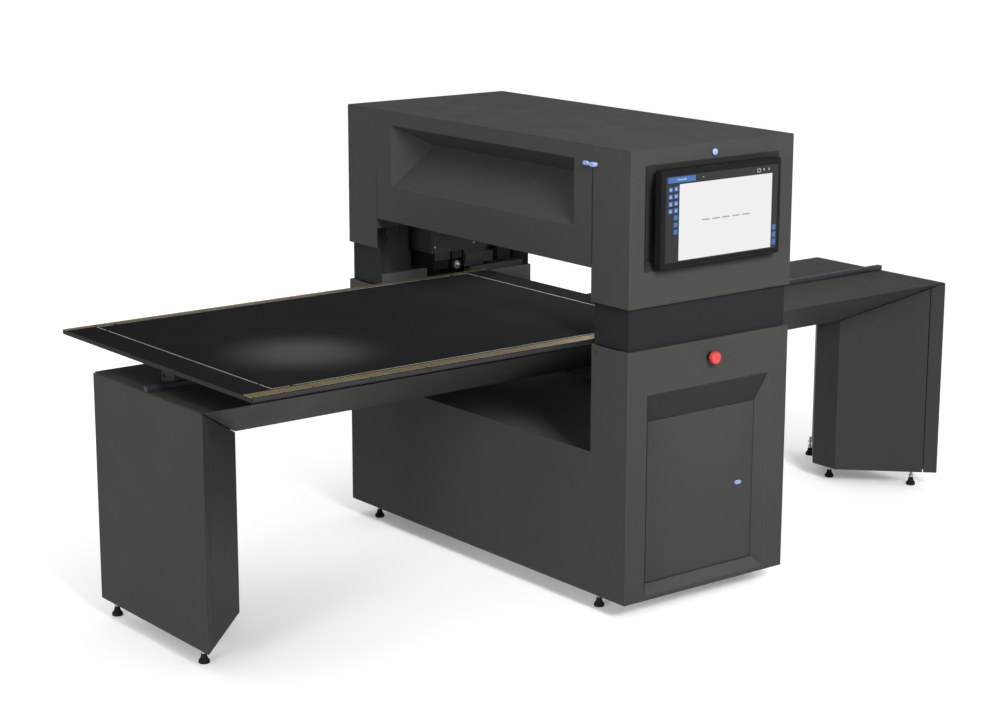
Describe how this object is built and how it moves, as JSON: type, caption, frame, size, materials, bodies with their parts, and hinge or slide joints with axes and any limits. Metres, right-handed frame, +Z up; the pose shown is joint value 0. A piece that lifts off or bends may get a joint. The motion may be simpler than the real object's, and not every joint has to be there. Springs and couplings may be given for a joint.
{
  "type": "flatbed uv printer",
  "caption": "Flatbed UV printer: a fixed gantry over a legged bridge, with a sliding table, a print carriage on a cross rail, hinged doors and a touch screen.",
  "frame": {"origin": "on the floor under the middle of the machine's box", "axes": "+X along the table's travel, away from the loading side; -Y towards the operator's end with the touch screen; +Z up"},
  "size_m": [3.2, 1.592, 1.5],
  "materials": {
    "body_paint": "fine-textured powder coat, anthracite",
    "dark_paint": "fine-textured powder coat, blue-black",
    "table_coat": "semi-gloss black laminate with a fine hole pattern",
    "ruler_brass": "brushed, engraved scale",
    "steel": "ground",
    "aluminium": "machined, satin",
    "black_plastic": "moulded",
    "screen_glass": "lit display",
    "blue_plastic": "moulded, light blue",
    "red_plastic": "moulded, signal red",
    "rubber": "matt",
    "ink_plastic": "translucent polyethylene"
  },
  "bodies": {
    "machine": {"base_far_panel": "body_paint", "base_front_panel": "body_paint", "base_near_panel": "body_paint", "base_rear_panel": "body_paint", "beam_cover": "body_paint", "capping_station": "dark_paint", "carriage_rail": "steel", "estop_collar": "black_plastic", "far_band_shroud": "dark_paint", "far_cheek_plate": "body_paint", "foot_base_1": "rubber", "foot_base_2": "rubber", "foot_base_3": "rubber", "foot_base_4": "rubber", "foot_left_1": "rubber", "foot_left_2": "rubber", "foot_left_3": "rubber", "foot_right_1": "rubber", "foot_right_2": "rubber", "foot_right_3": "rubber", "front_door_hinge_pin": "steel", "gantry_frame": "dark_paint", "head_far_housing": "body_paint", "head_near_housing": "body_paint", "head_rear_cover": "body_paint", "head_top_cover": "body_paint", "ink_door_hinge_pin": "steel", "ink_tank_bank": "ink_plastic", "left_leg_cover": "body_paint", "left_leg_end_cover": "body_paint", "linear_rail": "steel", "main_switch_plate": "black_plastic", "near_band_shroud": "dark_paint", "right_leg_cover": "body_paint", "right_leg_end_cover": "body_paint", "screen_housing": "black_plastic", "screen_panel": "screen_glass", "table_drive_motor": "black_plastic", "tunnel_liner": "dark_paint"},
    "table": {"table_top": "table_coat", "ruler_near": "ruler_brass", "ruler_far": "ruler_brass", "table_bracket_left": "body_paint", "table_bracket_right": "body_paint", "table_rack": "steel"},
    "pinion": {"drive_pinion": "steel"},
    "carriage": {"carriage_plate": "aluminium"},
    "print_unit": {"print_head_module": "dark_paint", "print_heads": "steel", "uv_lamp": "black_plastic"},
    "roller": {"guide_roller": "rubber"},
    "screw": {"carriage_screw": "steel"},
    "cover_door": {"front_door": "body_paint", "door_striker": "blue_plastic"},
    "cover_latch": {"door_latch": "blue_plastic"},
    "bay_door": {"ink_bay_door": "body_paint"},
    "bay_latch": {"ink_door_handle": "blue_plastic"},
    "power_key": {"power_button": "blue_plastic"},
    "stop_key": {"estop_head": "red_plastic"},
    "isolator": {"main_switch_knob": "red_plastic"}
  },
  "joints": [
    {"name": "table_slide", "type": "slide", "parent": "machine", "child": "table", "axis": [1, 0, 0], "range_m": [0, 1.46]},
    {"name": "pinion_spin", "type": "hinge", "parent": "machine", "child": "pinion", "pos_m": [0, 0.4475, 0.8262], "axis": [0, 1, 0], "continuous": true},
    {"name": "carriage_slide", "type": "slide", "parent": "machine", "child": "carriage", "axis": [0, -1, 0], "range_m": [0, 1.15]},
    {"name": "screw_spin", "type": "hinge", "parent": "machine", "child": "screw", "pos_m": [0.19, 0, 1.235], "axis": [0, 1, 0], "continuous": true},
    {"name": "head_lift", "type": "slide", "parent": "carriage", "child": "print_unit", "axis": [0, 0, 1], "range_m": [0, 0.06]},
    {"name": "roller_spin", "type": "hinge", "parent": "print_unit", "child": "roller", "pos_m": [0.016, 0.6625, 0.9095], "axis": [0, 1, 0], "continuous": true},
    {"name": "cover_door_hinge", "type": "hinge", "parent": "machine", "child": "cover_door", "pos_m": [-0.344, 0.5835, 1.305], "axis": [0, 0, -1], "range_deg": [0, 100]},
    {"name": "cover_latch_turn", "type": "hinge", "parent": "machine", "child": "cover_latch", "pos_m": [-0.354, -0.589, 1.442], "axis": [-1, 0, 0], "range_deg": [0, 90]},
    {"name": "bay_door_hinge", "type": "hinge", "parent": "machine", "child": "bay_door", "pos_m": [-0.23, -0.722, 0.371], "axis": [0, 0, -1], "range_deg": [0, 110]},
    {"name": "bay_latch_turn", "type": "hinge", "parent": "bay_door", "child": "bay_latch", "pos_m": [0.164, -0.728, 0.371], "axis": [0, -1, 0], "range_deg": [0, 90]},
    {"name": "power_press", "type": "slide", "parent": "machine", "child": "power_key", "axis": [0, 1, 0], "range_m": [0, 0.002], "stiffness_N_per_m": 500},
    {"name": "stop_press", "type": "slide", "parent": "machine", "child": "stop_key", "axis": [0, 1, 0], "range_m": [0, 0.004], "stiffness_N_per_m": 1500},
    {"name": "isolator_turn", "type": "hinge", "parent": "machine", "child": "isolator", "pos_m": [0.19, 0.78, 0.68], "axis": [0, 1, 0], "range_deg": [0, 90]}
  ],
  "couplings": [
    {"joint": "pinion_spin", "follows": "table_slide", "rad_per_m": 49.26},
    {"joint": "screw_spin", "follows": "carriage_slide", "rad_per_m": 314.16}
  ]
}
